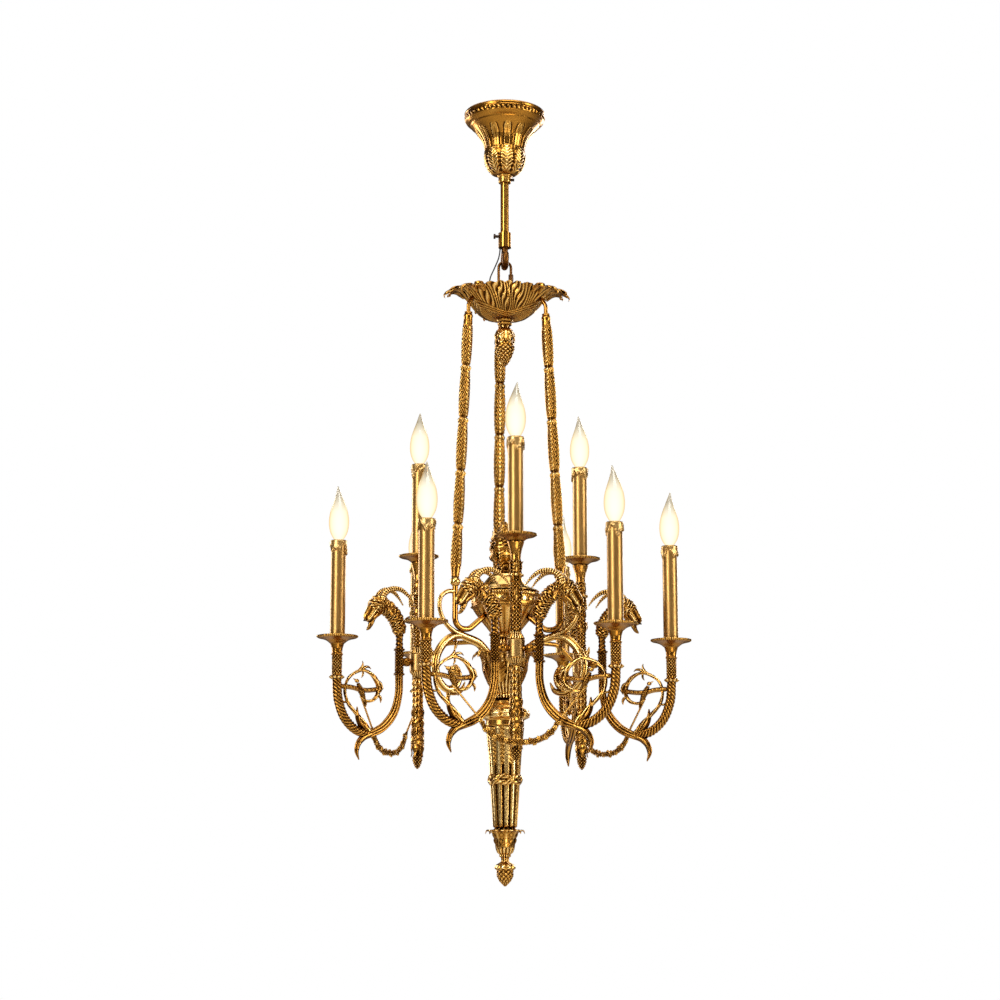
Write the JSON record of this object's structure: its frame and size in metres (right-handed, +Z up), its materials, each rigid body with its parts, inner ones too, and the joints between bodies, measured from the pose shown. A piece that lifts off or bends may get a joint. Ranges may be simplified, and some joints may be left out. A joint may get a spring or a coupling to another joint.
{
  "type": "multi arm chandelier",
  "caption": "Hanging chandelier with a bell canopy, leaf crown, three slim cast rods, central urn, goat-headed scroll arms and candle-style lamps.",
  "frame": {"origin": "middle of the ceiling bracket's top face, on the ceiling plane and the chandelier's axis", "axes": "+Z up through the ceiling; -Y towards the front group of lights; +X to the right seen from the front"},
  "size_m": [0.6497, 0.5723, 1.3752],
  "materials": {
    "polished_brass": "polished cast brass with dark patina in the recesses",
    "satin_brass": "brushed",
    "aged_brass": "aged, dull",
    "bulb_glass": "clear flame-shaped glass, lit warm white",
    "black_cord": "matt",
    "white_plastic": "moulded",
    "ivory_plastic": "moulded",
    "zinc_steel": "zinc plated",
    "dark_steel": "blackened"
  },
  "bodies": {
    "ceiling_fitting": {"ceiling_bracket": "zinc_steel", "down_rod": "polished_brass", "rod_locknut": "zinc_steel", "hook_collar": "polished_brass", "hook": "aged_brass", "supply_cord": "black_cord"},
    "canopy": {"canopy": "polished_brass", "canopy_collar": "polished_brass"},
    "canopy_screw": {"canopy_set_screw": "dark_steel"},
    "thumb_screw": {"hook_thumb_screw": "dark_steel"},
    "link": {"link": "aged_brass"},
    "link_nut": {"link_nut": "aged_brass"},
    "bulb_front_high": {"bulb_front_high": "bulb_glass"},
    "bulb_front_left": {"bulb_front_left": "bulb_glass"},
    "bulb_front_right": {"bulb_front_right": "bulb_glass"},
    "bulb_left_high": {"bulb_left_high": "bulb_glass"},
    "bulb_left_left": {"bulb_left_left": "bulb_glass"},
    "bulb_left_right": {"bulb_left_right": "bulb_glass"},
    "bulb_right_high": {"bulb_right_high": "bulb_glass"},
    "bulb_right_left": {"bulb_right_left": "bulb_glass"},
    "bulb_right_right": {"bulb_right_right": "bulb_glass"},
    "light_frame": {"acorn": "polished_brass", "arms_front": "polished_brass", "arms_left": "polished_brass", "arms_right": "polished_brass", "ball_nuts": "polished_brass", "calyx": "polished_brass", "candle_cups": "polished_brass", "candle_tubes": "satin_brass", "crown_bowl": "polished_brass", "crown_bud": "polished_brass", "crown_eye": "aged_brass", "crown_hub": "polished_brass", "crown_leaves": "polished_brass", "drip_pans": "polished_brass", "drop_shafts": "polished_brass", "drums": "satin_brass", "garlands": "polished_brass", "goats_front": "polished_brass", "goats_left": "polished_brass", "goats_right": "polished_brass", "group_brackets": "polished_brass", "hub": "polished_brass", "lamp_holders": "ivory_plastic", "leaf_cup": "polished_brass", "quiver": "polished_brass", "rod_hooks": "polished_brass", "rope_band": "polished_brass", "scrolls": "polished_brass", "stems": "polished_brass", "suspension_rod_back": "polished_brass", "suspension_rod_left": "polished_brass", "suspension_rod_right": "polished_brass", "terminal_block": "white_plastic", "tie_rod": "zinc_steel", "urn_body": "polished_brass", "urn_finial": "polished_brass", "urn_lid": "polished_brass", "urn_tubes": "polished_brass", "vine_rings": "polished_brass"}
  },
  "joints": [
    {"name": "canopy_slide", "type": "slide", "parent": "ceiling_fitting", "child": "canopy", "axis": [0, 0, -1], "range_m": [0, 0.085]},
    {"name": "canopy_screw_out", "type": "slide", "parent": "canopy", "child": "canopy_screw", "axis": [1, 0, 0], "range_m": [0, 0.004]},
    {"name": "thumb_screw_out", "type": "slide", "parent": "ceiling_fitting", "child": "thumb_screw", "axis": [-1, 0, 0], "range_m": [0, 0.004]},
    {"name": "link_swing", "type": "hinge", "parent": "ceiling_fitting", "child": "link", "pos_m": [0, 0, -0.288], "axis": [0, 1, 0], "range_deg": [-15, 15], "deforming": ["supply_cord"]},
    {"name": "frame_swing", "type": "hinge", "parent": "link", "child": "light_frame", "pos_m": [0, 0, -0.326], "axis": [1, 0, 0], "range_deg": [-15, 15]},
    {"name": "link_nut_up", "type": "slide", "parent": "link", "child": "link_nut", "axis": [0, 0, 1], "range_m": [0, 0.009]},
    {"name": "bulb_front_high_out", "type": "slide", "parent": "light_frame", "child": "bulb_front_high", "axis": [0, 0, 1], "range_m": [0, 0.03]},
    {"name": "bulb_front_left_out", "type": "slide", "parent": "light_frame", "child": "bulb_front_left", "axis": [0, 0, 1], "range_m": [0, 0.03]},
    {"name": "bulb_front_right_out", "type": "slide", "parent": "light_frame", "child": "bulb_front_right", "axis": [0, 0, 1], "range_m": [0, 0.03]},
    {"name": "bulb_left_high_out", "type": "slide", "parent": "light_frame", "child": "bulb_left_high", "axis": [0, 0, 1], "range_m": [0, 0.03]},
    {"name": "bulb_left_left_out", "type": "slide", "parent": "light_frame", "child": "bulb_left_left", "axis": [0, 0, 1], "range_m": [0, 0.03]},
    {"name": "bulb_left_right_out", "type": "slide", "parent": "light_frame", "child": "bulb_left_right", "axis": [0, 0, 1], "range_m": [0, 0.03]},
    {"name": "bulb_right_high_out", "type": "slide", "parent": "light_frame", "child": "bulb_right_high", "axis": [0, 0, 1], "range_m": [0, 0.03]},
    {"name": "bulb_right_left_out", "type": "slide", "parent": "light_frame", "child": "bulb_right_left", "axis": [0, 0, 1], "range_m": [0, 0.03]},
    {"name": "bulb_right_right_out", "type": "slide", "parent": "light_frame", "child": "bulb_right_right", "axis": [0, 0, 1], "range_m": [0, 0.03]}
  ]
}
